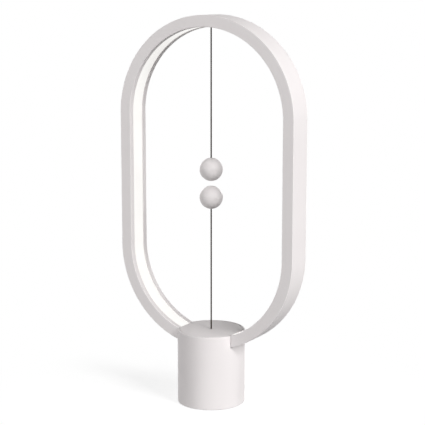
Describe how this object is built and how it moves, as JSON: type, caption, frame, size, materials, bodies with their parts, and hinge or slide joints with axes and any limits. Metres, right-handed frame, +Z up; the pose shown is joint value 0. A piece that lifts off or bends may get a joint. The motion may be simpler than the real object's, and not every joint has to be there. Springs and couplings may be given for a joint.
{
  "type": "magnetic balance lamp",
  "caption": "Upright stadium light ring on a round weighted base; a hanging magnet ball holds up a floating ball whose cord pulls the switch.",
  "frame": {"origin": "on the floor under the middle of the round base", "axes": "+Z up through the base and both balls, +X to the viewer's right along the ring, +Y to the back, where the power inlet is; the front of the ring looks along -Y"},
  "size_m": [0.2022, 0.0698, 0.4],
  "materials": {
    "white_plastic": "smooth matte, slightly warm white",
    "opal_diffuser": "translucent opal, lit from behind",
    "brown_cord": "thin braided cord, dark brown",
    "zinc_steel": "zinc plated",
    "brass": "turned, bare",
    "ballast_iron": "as cast",
    "nickel_magnet": "nickel plated",
    "foot_rubber": "soft, matte",
    "black_plastic": "moulded, matte",
    "board_resin": "glass resin board with green mask",
    "strip_board": "white light strip with small packages",
    "natural_nylon": "moulded, uncoloured"
  },
  "bodies": {
    "lamp": {"ring_front_shell": "white_plastic", "ring_rear_cover": "white_plastic", "ring_diffuser": "opal_diffuser", "led_strip": "strip_board", "leg_plug_left": "natural_nylon", "leg_plug_right": "natural_nylon", "leg_screw_left": "zinc_steel", "leg_screw_right": "zinc_steel", "cord_anchor_plate": "natural_nylon", "anchor_ferrule": "zinc_steel", "upper_cord_stub": "brown_cord", "switch_spring": "zinc_steel", "switch_body": "black_plastic", "switch_end_cap": "black_plastic", "switch_screw_front": "zinc_steel", "switch_screw_back": "zinc_steel", "switch_key": "black_plastic", "control_board": "board_resin", "driver_chip": "black_plastic", "smoothing_capacitor": "zinc_steel", "inlet_socket": "zinc_steel", "board_post_1": "brass", "board_post_2": "brass", "board_post_3": "brass", "board_screw_1": "zinc_steel", "board_screw_2": "zinc_steel", "board_screw_3": "zinc_steel", "led_lead": "foot_rubber", "base_housing": "white_plastic", "top_cap": "white_plastic", "cord_eyelet": "white_plastic", "ring_saddle": "natural_nylon", "saddle_screw_1": "zinc_steel", "saddle_screw_2": "zinc_steel", "saddle_screw_3": "zinc_steel", "saddle_screw_4": "zinc_steel", "bottom_cover": "white_plastic", "cover_screw_1": "zinc_steel", "cover_screw_2": "zinc_steel", "cover_screw_3": "zinc_steel", "cover_screw_4": "zinc_steel", "ballast_weight": "ballast_iron", "ballast_screw": "zinc_steel", "foot_pad": "foot_rubber"},
    "upper_link": {"upper_cord_link": "brown_cord"},
    "upper_ball": {"upper_cord": "brown_cord", "upper_ball_cord_half": "white_plastic", "upper_ball_magnet_half": "white_plastic", "upper_ball_magnet": "nickel_magnet", "upper_ball_ferrule": "zinc_steel"},
    "pull_switch": {"switch_slider": "natural_nylon", "slider_ferrule": "zinc_steel", "lower_cord_stub": "brown_cord"},
    "lower_link": {"lower_cord_link": "brown_cord"},
    "lower_ball": {"lower_cord": "brown_cord", "lower_ball_cord_half": "white_plastic", "lower_ball_magnet_half": "white_plastic", "lower_ball_magnet": "nickel_magnet", "lower_ball_ferrule": "zinc_steel"}
  },
  "joints": [
    {"name": "upper_cord_side", "type": "hinge", "parent": "lamp", "child": "upper_link", "pos_m": [0, 0, 0.3862], "axis": [0, 1, 0], "range_deg": [-32, 32]},
    {"name": "upper_cord_fore", "type": "hinge", "parent": "upper_link", "child": "upper_ball", "pos_m": [0, 0, 0.3822], "axis": [1, 0, 0], "range_deg": [-80, 80]},
    {"name": "switch_pull", "type": "slide", "parent": "lamp", "child": "pull_switch", "axis": [0, 0, 1], "range_m": [-0.003, 0], "stiffness_N_per_m": 50, "springref_m": -0.003, "deforming": ["switch_spring"]},
    {"name": "lower_cord_side", "type": "hinge", "parent": "pull_switch", "child": "lower_link", "pos_m": [0, 0, 0.0819], "axis": [0, 1, 0], "range_deg": [-33, 33]},
    {"name": "lower_cord_fore", "type": "hinge", "parent": "lower_link", "child": "lower_ball", "pos_m": [0, 0, 0.0859], "axis": [1, 0, 0], "range_deg": [-95, 95]}
  ]
}
